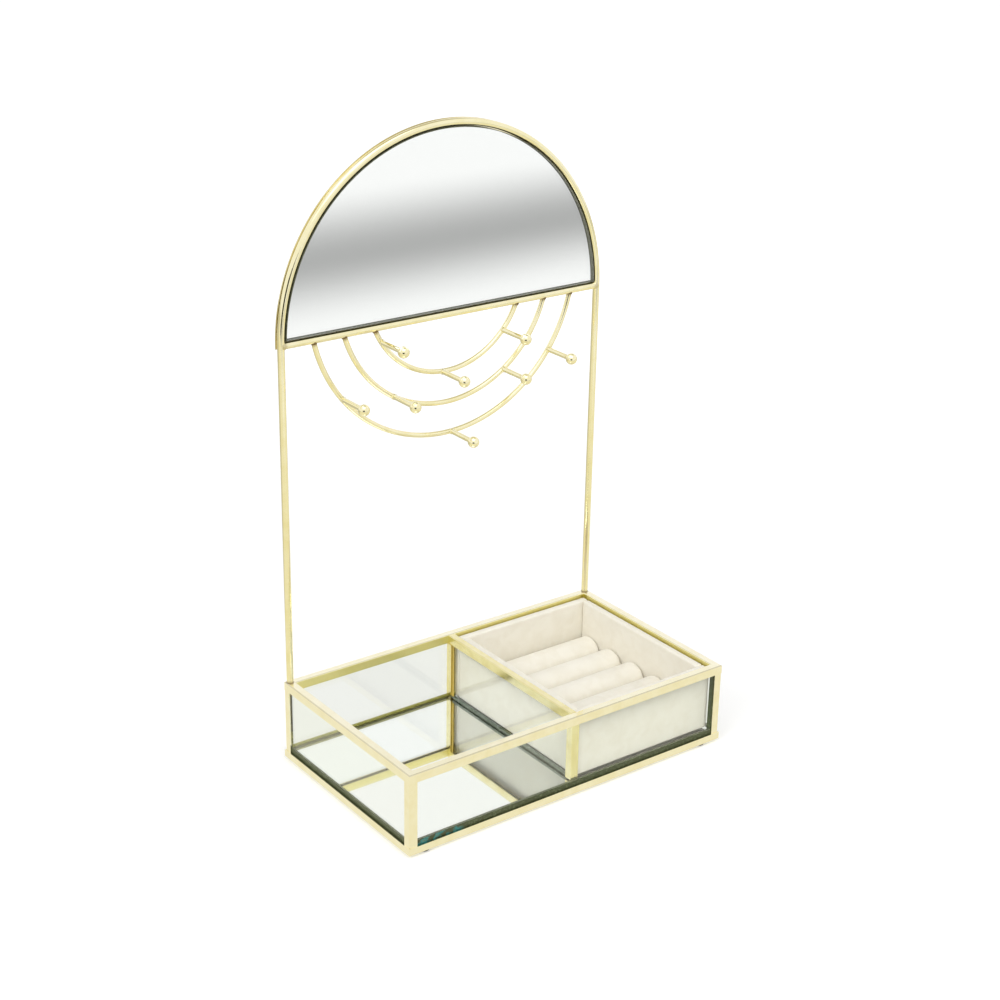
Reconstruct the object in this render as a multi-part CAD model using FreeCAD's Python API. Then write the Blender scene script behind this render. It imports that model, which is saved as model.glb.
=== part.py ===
import FreeCAD
import Part
import math
import os

# Jewellery stand. A glass tray with a mirrored floor is edged in folded brass strip and
# split by a glass divider. Its right half holds a lift-out velvet insert of ring rolls.
# A wire arch on the back of the rim carries a half-round mirror and, under its crossbar,
# three hanging arcs with ball-ended hooks.
# Millimetres, +Z up, -Y to the front. The origin is on the table, under the middle.

# Tray and its brass strip
base_width = 220.0
base_depth = 128.0
tray_height = 48.5
strip = 0.6
fold_radius = 0.6
base_rail_height = 4.5
base_lip = 8.0
top_rail_height = 5.2
post_leg = 5.0
glue_gap = 0.1
rail_play = 0.5

# Glass and floor
wall_glass = 3.0
floor_glass = 4.0
board_thickness = 3.0

# Divider
divider_x = 3.0
divider_glass = 3.0
end_channel_width = 5.4
end_channel_leg = 4.8

# Bumper feet
foot_diameter = 6.5
foot_height = 1.5
foot_bevel = 0.5
foot_inset_x = 12.0
foot_inset_y = 4.5

# Arch, crossbar and hanging arcs
rod_diameter = 4.0
arch_leg_length = 199.0
hanger_wire_diameter = 3.0
hanger_centre_rise = 19.0
inner_hanger_radius = 52.0
hanger_side_gap = 17.8
weld_gap = 0.05

# Half-round mirror on its plate
plate_thickness = 0.6
mirror_glass = 3.0
mirror_edge_gap = 0.6
mirror_arris = 0.3
tape_thickness = 0.5
tape_width = 12.0
tape_height_share = 0.6
tape_place_shares = (-0.5, 0.0, 0.5)

# Hooks: angle of each one on its arc, in degrees from the lowest point towards +X
hook_angles = {
    "inner": (-58.0, -4.0, 48.0),
    "middle": (-31.0, 34.0),
    "outer": (-51.5, 2.0, 54.0),
}
hook_reach = 22.0
hook_stem_diameter = 2.9
ball_diameter = 6.6
ball_hole_depth = 4.0
press_gap = 0.02

# Thin wires, balls and feet have flats for a round, and stay within 0.12 mm of it
flats = 12
ball_bands = 8

# Velvet ring insert
insert_gap = 0.6
insert_wall = 4.8
insert_base_thickness = 2.0
insert_drop = 2.0
insert_corner_radius = 1.5
insert_edge_share = 0.4
roll_count = 5
roll_gap = 0.3
roll_height = 17.3
roll_crown = 8.5
roll_draw = 0.8
roll_draw_length = 2.0

# Length by which every cutting tool passes the face that it cuts
overrun = 5.0

# Levels
z_base = foot_height
z_lip = z_base + strip
z_board = z_lip + board_thickness
z_floor = z_board + floor_glass
z_rim = z_base + tray_height
z_flange = z_rim - top_rail_height
z_bar = z_rim + arch_leg_length

# Planes of the tray, from its middle outwards
frame_x = base_width / 2 - strip
frame_y = base_depth / 2 - strip
glass_x = frame_x - strip - glue_gap
glass_y = frame_y - strip - glue_gap
inside_x = glass_x - wall_glass
inside_y = glass_y - wall_glass
top_rail_width = wall_glass + 2 * (strip + glue_gap) + rail_play
rim_x = frame_x - top_rail_width
rim_y = frame_y - top_rail_width

# Arch
rod_radius = rod_diameter / 2
arch_radius = frame_x - top_rail_width / 2
arch_y = frame_y - top_rail_width / 2
wire_radius = hanger_wire_diameter / 2
z_hanger = z_bar + hanger_centre_rise
hanger_spacing = (arch_radius - hanger_side_gap - inner_hanger_radius) / 2
hanger_radii = {
    "inner": inner_hanger_radius,
    "middle": inner_hanger_radius + hanger_spacing,
    "outer": inner_hanger_radius + 2 * hanger_spacing,
}
plate_front = arch_y + rod_radius + weld_gap
mirror_back = plate_front - tape_thickness
mirror_radius = arch_radius - rod_radius - mirror_edge_gap
mirror_foot = rod_radius + mirror_edge_gap

# Insert
insert_left = divider_x + end_channel_width / 2 + insert_gap
insert_right = rim_x - insert_gap
insert_y = rim_y - insert_gap
insert_top = z_rim - insert_drop
well_left = insert_left + insert_wall
well_right = insert_right - insert_wall
well_y = insert_y - insert_wall
roll_pitch = 2 * well_y / roll_count

# Sides and corners of the tray, each a quarter turn about Z from the one before
sides = ("front", "right", "back", "left")
corners = ("front_left", "front_right", "back_right", "back_left")
sideways = FreeCAD.Vector(1, 0, 0)
forward = FreeCAD.Vector(0, -1, 0)
up = FreeCAD.Vector(0, 0, 1)
middle = FreeCAD.Vector(0, 0, 0)


def point(x, y, z):
    return FreeCAD.Vector(x, y, z)


def in_xy(u, v):
    return point(u, v, 0)


def in_yz(u, v):
    return point(0, u, v)


def in_xz(u, v):
    return point(u, 0, v)


def rounded_face(corners, plane):
    """Face of a closed outline in a plane. Each corner is (u, v, radius); a corner with a
    radius becomes a tangent arc."""
    places = [plane(u, v) for u, v, radius in corners]
    ends = []
    edges = []
    for i, (u, v, radius) in enumerate(corners):
        here = places[i]
        back = (places[i - 1] - here).normalize()
        ahead = (places[(i + 1) % len(places)] - here).normalize()
        half = back.getAngle(ahead) / 2
        trim = radius / math.tan(half)
        start = here + back * trim
        stop = here + ahead * trim
        ends.append((start, stop))
        if radius:
            bulge = here + (back + ahead).normalize() * (radius / math.sin(half) - radius)
            edges.append(Part.Arc(start, bulge, stop).toShape())
    for i, (start, stop) in enumerate(ends):
        edges.append(Part.LineSegment(stop, ends[(i + 1) % len(ends)][0]).toShape())
    return Part.Face(Part.Wire(Part.__sortEdges__(edges)))


def box_between(low, high):
    size = high - low
    return Part.makeBox(size.x, size.y, size.z, low)


def rod_between(start, stop, radius):
    along = stop - start
    return Part.makeCylinder(radius, along.Length, start, along)


def flat_ring(centre, radius, side, rise):
    """Corners of a ring of equal flats about a centre, in the plane of two directions."""
    turns = [2 * math.pi * i / flats for i in range(flats)]
    return [centre + (side * math.cos(a) + rise * math.sin(a)) * radius for a in turns]


def flat_face(corners):
    return Part.Face(Part.makePolygon(corners + corners[:1]))


def banded_solid(rings):
    """Solid of flat facets from ring to ring, closed by the first and the last."""
    faces = [flat_face(rings[0]), flat_face(rings[-1])]
    for low, high in zip(rings, rings[1:]):
        for i in range(flats):
            faces.append(flat_face([low[i - 1], low[i], high[i], high[i - 1]]))
    return Part.makeSolid(Part.Shell(faces))


def facing(quarter):
    """Way that a side faces in X and Y, so many quarter turns from the front."""
    turn = math.radians(90 * quarter)
    return round(math.sin(turn)), -round(math.cos(turn))


def turned(shape, quarter, x, y, z):
    """Copy of a shape, turned by quarter turns about the Z axis and then moved."""
    copy = shape.copy()
    copy.rotate(middle, up, 90 * quarter)
    copy.translate(point(x, y, z))
    return copy


def mitred_rail(profile, run, width, height):
    """Straight rail along X with its outer face on y = 0, cut at 45 degrees at both ends."""
    half = run / 2
    bar = profile.extrude(point(run, 0, 0))
    bar.translate(point(-half, 0, 0))
    plan = rounded_face(
        [(-half, 0, 0), (half, 0, 0), (half - width, width, 0), (width - half, width, 0)], in_xy
    )
    return bar.common(plan.extrude(point(0, 0, height)))


def four_rails(name, profile, half_x, half_y, width, height, level):
    """The same rail on each side of a rectangle, as four named pieces."""
    rails = {}
    for quarter, side in enumerate(sides):
        face_x, face_y = facing(quarter)
        run = 2 * (half_x if face_y else half_y)
        rail = mitred_rail(profile, run, width, height)
        rails[name + "_" + side] = turned(rail, quarter, face_x * half_x, face_y * half_y, level)
    return rails


def base_rails():
    """L strip: an upright leg outside and a lip that carries the floor."""
    profile = rounded_face(
        [
            (0, 0, fold_radius),
            (base_lip, 0, 0),
            (base_lip, strip, 0),
            (strip, strip, 0),
            (strip, base_rail_height, 0),
            (0, base_rail_height, 0),
        ],
        in_yz,
    )
    return four_rails(
        "base_rail", profile, base_width / 2, base_depth / 2, base_lip, base_rail_height, z_base
    )


def channel_outline(width, leg):
    """Corners of a U strip with its web at the top, rounded at both folds."""
    return [
        (0, 0, 0),
        (0, leg, fold_radius),
        (width, leg, fold_radius),
        (width, 0, 0),
        (width - strip, 0, 0),
        (width - strip, leg - strip, 0),
        (strip, leg - strip, 0),
        (strip, 0, 0),
    ]


def top_rails():
    """U strip over the upper edges of the four glass walls."""
    profile = rounded_face(channel_outline(top_rail_width, top_rail_height), in_yz)
    return four_rails(
        "top_rail", profile, frame_x, frame_y, top_rail_width, top_rail_height, z_flange
    )


def corner_posts():
    """L strips that wrap the glass corners, from the base lip up to the rim."""
    profile = rounded_face(
        [
            (0, 0, fold_radius),
            (post_leg, 0, 0),
            (post_leg, strip, 0),
            (strip, strip, 0),
            (strip, post_leg, 0),
            (0, post_leg, 0),
        ],
        in_xy,
    )
    post = profile.extrude(point(0, 0, z_flange - z_lip))
    posts = {}
    for quarter, corner in enumerate(corners):
        side_x, side_y = facing(quarter)
        last_x, last_y = facing(quarter - 1)
        posts["corner_post_" + corner] = turned(
            post, quarter, (side_x + last_x) * frame_x, (side_y + last_y) * frame_y, z_lip
        )
    return posts


def floor():
    """Hardboard on the base lip, and the mirror glass that the walls stand on."""
    board = box_between(point(-glass_x, -glass_y, z_lip), point(glass_x, glass_y, z_board))
    mirror = box_between(point(-glass_x, -glass_y, z_board), point(glass_x, glass_y, z_floor))
    return {"base_board": board, "floor_mirror": mirror}


def glass_walls():
    """Side sheets run the full depth; the front and back sheets stand between them."""
    top = z_rim - strip - glue_gap
    walls = {}
    for quarter, side in enumerate(sides):
        face_x, face_y = facing(quarter)
        if face_x:
            near = point(face_x * inside_x, -glass_y, z_floor)
            far = point(face_x * glass_x, glass_y, top)
        else:
            near = point(-inside_x, face_y * inside_y, z_floor)
            far = point(inside_x, face_y * glass_y, top)
        low = point(min(near.x, far.x), min(near.y, far.y), near.z)
        high = point(max(near.x, far.x), max(near.y, far.y), far.z)
        walls["wall_glass_" + side] = box_between(low, high)
    return walls


def divider():
    """Glass sheet across the tray, with a U strip on its top and on both upright ends."""
    half_glass = divider_glass / 2
    top_width = divider_glass + 2 * (strip + glue_gap)
    top = rounded_face(channel_outline(top_width, top_rail_height), in_xz)
    top_channel = top.extrude(point(0, 2 * rim_y, 0))
    top_channel.translate(point(divider_x - top_width / 2, -rim_y, z_flange))
    end = rounded_face(channel_outline(end_channel_width, end_channel_leg), in_xy)
    end_channel = end.extrude(point(0, 0, z_flange - z_floor))
    end_channel.translate(point(-end_channel_width / 2, inside_y - end_channel_leg, 0))
    sheet_y = rim_y - glue_gap
    glass = box_between(
        point(divider_x - half_glass, -sheet_y, z_floor),
        point(divider_x + half_glass, sheet_y, z_rim - strip - glue_gap),
    )
    return {
        "divider_glass": glass,
        "divider_top_channel": top_channel,
        "divider_front_channel": turned(end_channel, 2, divider_x, 0, z_floor),
        "divider_back_channel": turned(end_channel, 0, divider_x, 0, z_floor),
    }


def bumper_feet():
    """Four soft discs under the lip, bevelled where they meet the table."""
    radius = foot_diameter / 2
    rims = [(radius - foot_bevel, 0), (radius, foot_bevel), (radius, foot_height)]
    foot = banded_solid([flat_ring(up * z, size, sideways, forward) for size, z in rims])
    foot_x = base_width / 2 - foot_inset_x
    foot_y = base_depth / 2 - foot_inset_y
    feet = [
        turned(foot, 0, side_x * foot_x, side_y * foot_y, 0)
        for side_x in (-1, 1)
        for side_y in (-1, 1)
    ]
    return {"bumper_feet": Part.makeCompound(feet)}


def arch_rod():
    """One rod bent to a half circle on two straight legs."""
    section = Part.Face(Part.Wire(Part.makeCircle(rod_radius, point(arch_radius, arch_y, z_bar), up)))
    bend = section.revolve(point(0, arch_y, z_bar), forward, 180)
    legs = [
        rod_between(point(x, arch_y, z_rim), point(x, arch_y, z_bar), rod_radius)
        for x in (-arch_radius, arch_radius)
    ]
    return bend.fuse(legs)


def crossbar():
    """Straight rod between the legs, its ends hollowed to sit against them."""
    left = point(-arch_radius, arch_y, z_bar)
    right = point(arch_radius, arch_y, z_bar)
    bar = rod_between(left, right, rod_radius)
    for spring in (left, right):
        reach = up * (rod_radius + overrun)
        bar = bar.cut(rod_between(spring - reach, spring + reach, rod_radius + weld_gap))
    return bar


def half_disc(radius, flat, front, thickness):
    """Disc about the crossbar's middle, cut off straight at a height above the bar."""
    half_chord = math.sqrt(radius**2 - flat**2)
    left = point(-half_chord, front, z_bar + flat)
    right = point(half_chord, front, z_bar + flat)
    crown = point(0, front, z_bar + radius)
    outline = [Part.Arc(left, crown, right).toShape(), Part.LineSegment(right, left).toShape()]
    return Part.Face(Part.Wire(outline)).extrude(point(0, thickness, 0))


def arch_mirror():
    """Half-round mirror glass with its front edges ground, taped to a brass plate whose
    straight foot reaches down behind the crossbar."""
    plate_radius = arch_radius + rod_radius
    plate = half_disc(plate_radius, 0, plate_front, plate_thickness)
    foot = box_between(
        point(-plate_radius, plate_front, z_bar - rod_radius),
        point(plate_radius, plate_front + plate_thickness, z_bar),
    )
    mirror_front = mirror_back - mirror_glass
    mirror = half_disc(mirror_radius, mirror_foot, mirror_front, mirror_glass)
    face = min(mirror.Faces, key=lambda side: side.CenterOfMass.y)
    tapes = []
    for share in tape_place_shares:
        left = share * mirror_radius - tape_width / 2
        low = z_bar + 2 * mirror_foot
        tapes.append(
            box_between(
                point(left, mirror_back, low),
                point(left + tape_width, plate_front, low + tape_height_share * mirror_radius),
            )
        )
    return {
        "mirror_back_plate": plate.fuse(foot).removeSplitter(),
        "arch_mirror": mirror.makeChamfer(mirror_arris, face.Edges),
        "mirror_tape": Part.makeCompound(tapes),
    }


def hanger_arc(radius, wire):
    """Wire bent to an arc about the point above the crossbar, ending in the bar's axis."""
    span = math.degrees(math.acos(hanger_centre_rise / radius))
    lowest = point(0, arch_y, z_hanger - radius)
    centre = point(0, arch_y, z_hanger)
    section = flat_face(flat_ring(lowest, wire, forward, up))
    section.rotate(centre, forward, span)
    return section.revolve(centre, forward, -2 * span)


def hangers():
    """The three arcs, hollowed at their ends to sit under the crossbar."""
    reach = sideways * arch_radius
    bar_axis = point(0, arch_y, z_bar)
    bar = rod_between(bar_axis - reach, bar_axis + reach, rod_radius + weld_gap)
    return {
        "hanger_arc_" + name: hanger_arc(radius, wire_radius).cut(bar)
        for name, radius in hanger_radii.items()
    }


def hook_ball(centre):
    """Ball in bands about the stem's axis, drilled from the back for the stem."""
    radius = ball_diameter / 2
    rings = []
    for i in range(ball_bands):
        turn = math.pi * (2 * i + 1) / (2 * ball_bands)
        place = centre - forward * (radius * math.cos(turn))
        rings.append(flat_ring(place, radius * math.sin(turn), sideways, up))
    mouth = centre - forward * (radius + overrun)
    hole = flat_face(flat_ring(mouth, hook_stem_diameter / 2 + press_gap, sideways, up))
    return banded_solid(rings).cut(hole.extrude(forward * (overrun + ball_hole_depth)))


def hooks():
    """Stems that stand straight out of the arcs, each with a drilled ball on its end."""
    pieces = {}
    for name, radius in hanger_radii.items():
        arc = hanger_arc(radius, wire_radius + weld_gap)
        for number, angle in enumerate(hook_angles[name], 1):
            turn = math.radians(angle)
            root = point(radius * math.sin(turn), arch_y, z_hanger - radius * math.cos(turn))
            length = hook_reach - ball_diameter / 2 + ball_hole_depth
            stem = flat_face(flat_ring(root, hook_stem_diameter / 2, sideways, up))
            label = "%s_%d" % (name, number)
            pieces["hook_stem_" + label] = stem.extrude(forward * length).cut(arc)
            pieces["hook_ball_" + label] = hook_ball(root + forward * hook_reach)
    return pieces


def insert_wall_bar(run):
    """Wall along X with its outer face on y = 0: rounded top, rounded outer corners."""
    half = run / 2
    edge = insert_edge_share * insert_wall
    height = insert_top - z_floor
    profile = rounded_face(
        [(0, 0, 0), (insert_wall, 0, 0), (insert_wall, height, edge), (0, height, edge)], in_yz
    )
    bar = profile.extrude(point(run, 0, 0))
    bar.translate(point(-half, 0, 0))
    return bar


def insert_walls():
    """Front and back walls run full width; the side walls stand between them."""
    run_x = insert_right - insert_left
    centre_x = (insert_left + insert_right) / 2
    height = insert_top - z_floor
    plan = rounded_face(
        [
            (-run_x / 2, 0, insert_corner_radius),
            (run_x / 2, 0, insert_corner_radius),
            (run_x / 2, insert_wall, 0),
            (-run_x / 2, insert_wall, 0),
        ],
        in_xy,
    )
    long_wall = insert_wall_bar(run_x).common(plan.extrude(point(0, 0, height)))
    short_wall = insert_wall_bar(2 * well_y)
    return {
        "insert_wall_front": turned(long_wall, 0, centre_x, -insert_y, z_floor),
        "insert_wall_back": turned(long_wall, 2, centre_x, insert_y, z_floor),
        "insert_wall_right": turned(short_wall, 1, insert_right, 0, z_floor),
        "insert_wall_left": turned(short_wall, 3, insert_left, 0, z_floor),
    }


def roll_section(x, inset):
    """Outline of a ring roll across its length: upright sides under one crowned arc."""
    half = (roll_pitch - roll_gap) / 2 - inset
    top = roll_height - inset
    shoulder = top - roll_crown
    corners = [point(x, half, shoulder), point(x, half, 0), point(x, -half, 0)]
    corners.append(point(x, -half, shoulder))
    edges = [Part.LineSegment(a, b).toShape() for a, b in zip(corners, corners[1:])]
    edges.append(Part.Arc(corners[-1], point(x, 0, top), corners[0]).toShape())
    return Part.Wire(edges)


def ring_rolls():
    """Padded rolls side by side across the well, drawn in a little at both ends."""
    start = well_left + roll_gap
    stop = well_right - roll_gap
    sections = [
        roll_section(start, roll_draw),
        roll_section(start + roll_draw_length, 0),
        roll_section(stop - roll_draw_length, 0),
        roll_section(stop, roll_draw),
    ]
    roll = Part.makeLoft(sections, True, True)
    level = z_floor + insert_base_thickness
    return {
        "ring_roll_%d" % i: turned(roll, 0, 0, well_y - (2 * i - 1) * roll_pitch / 2, level)
        for i in range(1, roll_count + 1)
    }


def ring_insert():
    """Base board inside the four walls, with the row of rolls on it."""
    base = box_between(
        point(well_left, -well_y, z_floor),
        point(well_right, well_y, z_floor + insert_base_thickness),
    )
    return {"insert_base": base, **insert_walls(), **ring_rolls()}


def main():
    pieces = {
        **base_rails(),
        **corner_posts(),
        **top_rails(),
        **floor(),
        **glass_walls(),
        **divider(),
        **bumper_feet(),
        "arch_rod": arch_rod(),
        "crossbar": crossbar(),
        **arch_mirror(),
        **hangers(),
        **hooks(),
        **ring_insert(),
    }
    os.makedirs("parts", exist_ok=True)
    for name, shape in pieces.items():
        shape.exportStep("parts/" + name + ".step")


main()
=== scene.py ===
import math
from functools import partial
import bpy
import numpy as np
from mathutils import Matrix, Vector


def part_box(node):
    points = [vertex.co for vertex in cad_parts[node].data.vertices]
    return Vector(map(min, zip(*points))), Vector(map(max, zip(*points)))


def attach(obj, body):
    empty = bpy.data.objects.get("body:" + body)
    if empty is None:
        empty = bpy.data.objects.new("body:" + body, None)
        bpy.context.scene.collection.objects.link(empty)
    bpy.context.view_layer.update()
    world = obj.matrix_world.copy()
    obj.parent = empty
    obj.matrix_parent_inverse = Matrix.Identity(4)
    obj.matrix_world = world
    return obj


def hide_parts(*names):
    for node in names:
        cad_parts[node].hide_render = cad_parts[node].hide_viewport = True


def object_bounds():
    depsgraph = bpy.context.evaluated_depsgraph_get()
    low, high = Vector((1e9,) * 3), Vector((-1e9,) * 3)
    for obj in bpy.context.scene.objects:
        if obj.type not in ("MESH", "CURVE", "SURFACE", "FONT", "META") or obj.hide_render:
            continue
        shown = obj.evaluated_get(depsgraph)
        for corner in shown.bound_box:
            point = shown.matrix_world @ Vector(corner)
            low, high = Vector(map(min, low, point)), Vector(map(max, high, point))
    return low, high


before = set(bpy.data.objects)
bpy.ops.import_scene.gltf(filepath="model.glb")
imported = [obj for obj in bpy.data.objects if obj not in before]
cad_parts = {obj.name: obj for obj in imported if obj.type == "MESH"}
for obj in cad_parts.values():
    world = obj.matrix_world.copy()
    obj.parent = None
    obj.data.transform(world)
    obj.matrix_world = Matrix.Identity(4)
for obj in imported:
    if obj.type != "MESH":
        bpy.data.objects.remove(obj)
cad_box = [list(corner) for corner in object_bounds()]

bl_info = {
    "name": "Jewellery stand",
    "version": (1, 0, 0),
    "blender": (4, 5, 0),
    "location": "View3D > Sidebar > Stand",
    "description": "Dresses a brass and glass jewellery stand: wires, panes, mirrors and velvet insert",
    "category": "Object",
}

mm = 0.001
sideways, backwards, upwards = np.eye(3)
sides = ("front", "right", "back", "left")
arcs = ("inner", "middle", "outer")

# Place and side of each soft lamp, in metres
lamps = {
    "front": ((-0.2, -1.8, 1.3), 1.2),
    "left": ((-1.9, -0.45, 1.3), 1.2),
    "top": ((-0.37, -0.5, 1.65), 1.4),
    "fill": ((1.6, -0.5, 1.0), 1.0),
}

# Rings that each form has along its length
arch_rings = 420
bar_rings = 200
arc_rings = 260
stem_rings = 60
ball_rings = 28
foot_rings = 6


def linear(code):
    """Linear colour of an sRGB hex code: each channel as a share of 255, its gamma undone."""
    share = np.array([int(code[i : i + 2], 16) for i in (0, 2, 4)]) / 255
    value = np.where(share <= 0.04045, share / 12.92, ((share + 0.055) / 1.055) ** 2.4)
    return (*value.tolist(), 1.0)


white = linear("FFFFFF")


def span(node):
    """Lowest and highest corner of a node as arrays."""
    low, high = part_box(node)
    return np.array(low), np.array(high)


def middle(node):
    """Centre of a node's box, and half its size along each axis."""
    low, high = span(node)
    return (low + high) / 2, (high - low) / 2


def number(name, description, default, **kind):
    """A number that a user may change, with its unit or subtype."""
    return bpy.props.FloatProperty(name=name, description=description, default=default, **kind)


def length(name, description, default):
    """Such a number in metres."""
    return number(name, description, default, unit="LENGTH")


def angle(name, description, degrees):
    """Such a number as an angle, given in degrees."""
    return number(name, description, math.radians(degrees), subtype="ANGLE")


def portion(name, description, default):
    """Such a number from 0 to 1."""
    return number(name, description, default, subtype="FACTOR", min=0, max=1)


def colour(name, description, code):
    """A colour that a user may change, given as sRGB hex."""
    return bpy.props.FloatVectorProperty(
        name=name, description=description, default=linear(code), size=4, min=0, max=1, subtype="COLOR"
    )


class StandSizes(bpy.types.PropertyGroup):
    """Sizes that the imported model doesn't give by itself."""

    hairline: length("Hairline", "Gap between faces that lie on each other", 0.02 * mm)
    arris: length("Arris", "Width of the bevel down a wall pane's dark end", 2.4 * mm)
    mirror_arris: length("Mirror arris", "Width of the bevel round the arch mirror", 0.3 * mm)
    silver: length("Silver", "Thickness of the arch mirror's silver", 0.04 * mm)
    solder: length("Solder", "Width of the solder fillet where wires meet", 0.35 * mm)
    foot_solder: length("Foot solder", "Width of the fillet at the arch's feet", 0.3 * mm)
    scorch: length("Scorch", "How far the solder's heat has browned a wire", 2.2 * mm)
    # The sealant band at the divider's foot is painted dark as the shade there; this is its height.
    seal: length("Seal", "Height of the sealant along the divider's foot", 1.5 * mm)
    # The bead at the back pane's foot is coloured olive as painted shade of the brass behind it.
    back_seal: length("Back seal", "Width of the sealant along the back pane's foot", 1.3 * mm)
    lip: length("Lip", "Width of the glue along the divider's back channel", 1.5 * mm)
    lip_rise: length("Lip rise", "Thickness of that glue", 0.3 * mm)
    silver_depth: length("Silver depth", "Glass over the silver of the floor mirror", 2 * mm)
    daylight: length("Daylight", "How far daylight comes into the floor glass", 35.7 * mm)
    daylight_fade: length("Daylight fade", "Stretch over which it fades", 4 * mm)
    daylight_corner: length("Daylight corner", "How far it shows round the front corner", 2.7 * mm)
    # Width of the painted shade line along the rim's outer fold.
    fold: length("Fold", "Width of the line that bending leaves along the rim", 0.55 * mm)
    arc_rise: length("Arc rise", "Height of the arcs' common centre over the crossbar", 19 * mm)
    ball: length("Ball", "Diameter of the ball on a hook", 6.6 * mm)
    ball_tip: angle("Ball tip", "Turn that the flat end of a ball takes up", math.degrees(0.02))
    foot: length("Foot", "Diameter of a bumper foot", 6.5 * mm)
    foot_bevel: length("Foot bevel", "Rounding of a bumper foot's lower edge", 0.5 * mm)
    end_gap: length("End gap", "Space from a wall pane's end to the next pane", 0.9 * mm)
    wall_swell: length("Wall swell", "How much the left velvet wall thickens at the back", 0.8 * mm)
    velvet_edge: length("Velvet edge", "Rounding of the insert walls' edges", 1.3 * mm)
    roll_edge: length("Roll edge", "Rounding of a ring roll's ends", 2.5 * mm)
    roll_slack: length("Roll slack", "How much smaller a roll is before it is stuffed", 0.5 * mm)
    roll_crown: length("Roll crown", "Height of a ring roll's crowned part", 8.5 * mm)


class StandColours(bpy.types.PropertyGroup):
    """Colours of the finishes and of the marks in them."""

    strip: colour("Strip", "Pale gold plating on the strip", "FCF6DA")
    strip_marks: colour("Strip marks", "Thinner plating on the strip", "F8F0CC")
    # Deeper yellow painted on the rim's inner faces as shade.
    strip_inner: colour("Inner strip", "Plating on the inner faces of the rim", "F1E798")
    channel: colour("Channel", "Gold plating on the divider's strip", "F6EDB8")
    channel_marks: colour("Channel marks", "Thinner plating on the divider's strip", "EEE2A2")
    rod: colour("Rod", "Pale gold plating on the wires", "F9F1C8")
    rod_marks: colour("Rod marks", "Thinner plating on the wires", "F4EAB6")
    # Scorch is also the colour of the painted shade line along the rim's fold.
    scorch: colour("Scorch", "Plating browned by solder or a fold", "7C6430")
    # Fold shade: how much of that painted shade lies on the rim's fold.
    fold_shade: portion("Fold brown", "How brown the rim's fold is", 0.3)
    bar_brown: portion("Bar brown", "How brown the crossbar's ends are", 0.4)
    glass: colour("Glass", "Tint of a pane looked through", "FDFFFC")
    clear: colour("Clear glass", "Tint of the mirrors' glass", "FEFFFE")
    edge: colour("Glass edge", "Ground edge of the glass", "454C2E")
    edge_marks: colour("Edge marks", "Chips along the ground edge", "6F7A56")
    # Olive is painted shade: the brass in shadow behind the back pane, painted on the glass edges and the
    # bead at the back.
    olive: colour("Olive edge", "Edge at the back, with brass behind it", "918F41")
    olive_marks: colour("Olive marks", "Chips along the edge at the back", "B4AE66")
    # The sealant's dark grey-green is painted shade at the divider's foot; its pale grit is a speckle of
    # its own.
    seal: colour("Sealant", "Sealant under the divider", "5C6A56")
    seal_marks: colour("Sealant marks", "Grit in the sealant", "E6EEE0")
    glue: colour("Glue", "Amber glue in the divider's channels", "DCBE58")
    glue_marks: colour("Glue marks", "Paler lumps in the glue", "EAD27C")
    arris: colour("Arris", "Ground bevel round the arch mirror", "52543E")
    arris_marks: colour("Arris marks", "Chips along the bevel", "7E8272")
    end: colour("Dark end", "Pane ends at the front right corner", "34421C")
    end_marks: colour("End marks", "Chips along the dark ends", "5A6E38")
    teal: colour("Teal edge", "Floor glass where daylight comes in", "35827E")
    silver: colour("Silver", "Silvering seen through the mirror glass", "FCFCFC")
    velvet: colour("Velvet", "Pile that lies towards the light", "F2EEE2")
    velvet_marks: colour("Velvet marks", "Pile that stands away from the light", "EDE8DA")
    board: colour("Hardboard", "Pressed hardboard", "6B4F38")
    board_marks: colour("Hardboard marks", "Darker fibres in the hardboard", "4A3424")
    rubber: colour("Rubber", "Bumper feet", "35322C")
    rubber_marks: colour("Rubber marks", "Dusty bloom on the bumper feet", "4C4840")
    tape: colour("Tape", "Foam tape", "DADAD4")
    tape_marks: colour("Tape marks", "Open cells in the foam tape", "B9B9B2")


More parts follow.
